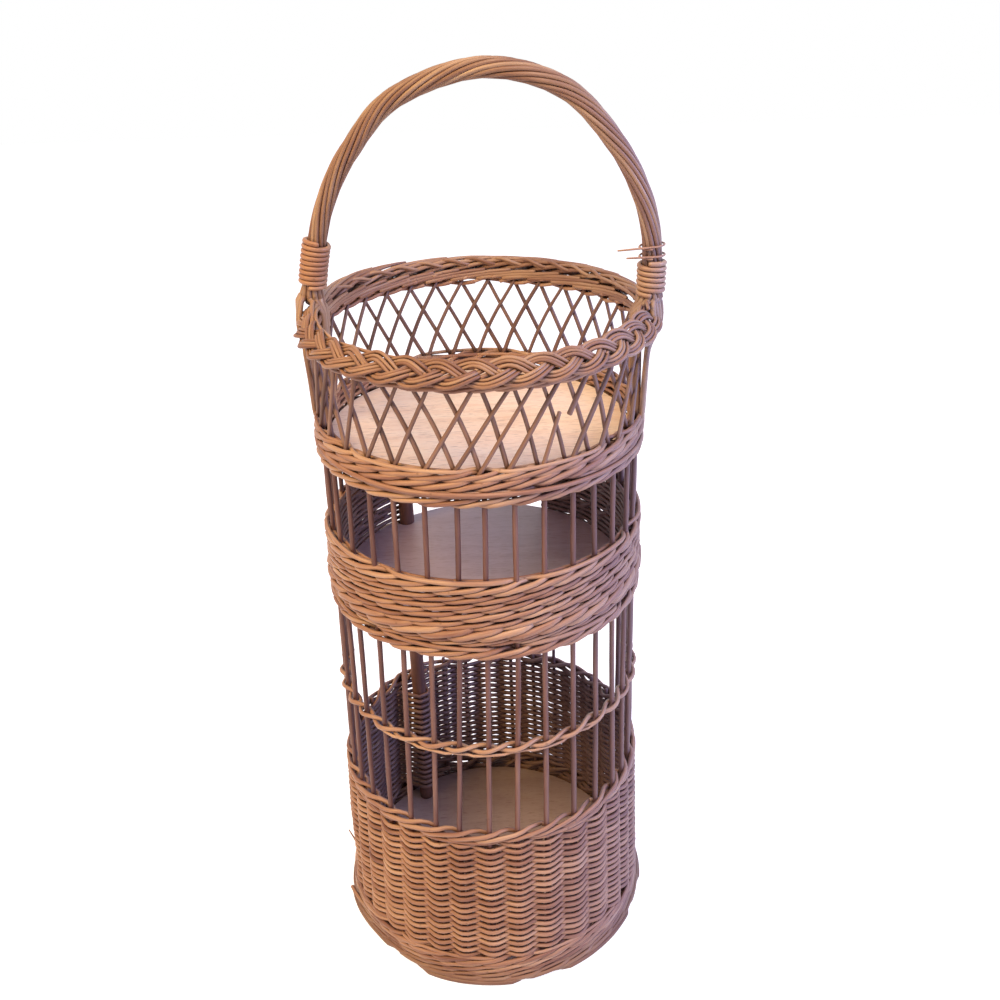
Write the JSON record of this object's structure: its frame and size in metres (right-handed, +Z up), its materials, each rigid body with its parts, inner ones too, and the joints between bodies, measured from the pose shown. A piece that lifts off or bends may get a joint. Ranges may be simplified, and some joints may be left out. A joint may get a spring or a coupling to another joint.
{
  "type": "tiered wicker basket stand",
  "caption": "Tall round willow basket on a close-woven base, with wooden shelves, open stake tiers, a lattice collar, a plaited rim and a roped hoop handle.",
  "frame": {"origin": "centre of the foot border's underside, on the floor", "axes": "+Z up along the basket's axis, -Y towards the front that the picture shows, +X to the right; the open back is at +Y"},
  "size_m": [0.3552, 0.35, 0.9495],
  "materials": {
    "weave": "dry willow rods, close weave",
    "plait": "dry willow rods, plaited",
    "lattice_rods": "thin dry willow rods",
    "pairing_rods": "dry willow rods, twined",
    "handle_rods": "dry willow rods, roped",
    "binding_rod": "dry willow rod, wound",
    "stakes": "dry willow stakes",
    "posts": "thick willow sticks",
    "plywood": "sealed beech-faced plywood"
  },
  "bodies": {
    "root": {"base_board": "plywood", "bow_ends_left": "handle_rods", "bow_ends_right": "handle_rods", "foot_border": "weave", "handle": "handle_rods", "handle_binding_left": "binding_rod", "handle_binding_right": "binding_rod", "lattice": "lattice_rods", "lower_wall": "weave", "middle_band": "weave", "middle_shelf_board": "plywood", "pairing_rod_1": "pairing_rods", "pairing_rod_2": "pairing_rods", "plaited_border": "plait", "rear_edge_stake": "stakes", "rear_post": "posts", "short_stake_1": "stakes", "short_stake_2": "stakes", "short_stake_3": "stakes", "short_stake_4": "stakes", "short_stake_5": "stakes", "short_stake_6": "stakes", "side_post": "posts", "stake_01": "stakes", "stake_02": "stakes", "stake_03": "stakes", "stake_04": "stakes", "stake_05": "stakes", "stake_06": "stakes", "stake_07": "stakes", "stake_08": "stakes", "stake_09": "stakes", "stake_10": "stakes", "stake_11": "stakes", "stake_12": "stakes", "stake_13": "stakes", "stake_14": "stakes", "stake_15": "stakes", "stake_16": "stakes", "stake_17": "stakes", "stake_18": "stakes", "stake_19": "stakes", "top_band": "weave", "top_shelf_board": "plywood", "upper_wale": "weave"}
  },
  "joints": []
}
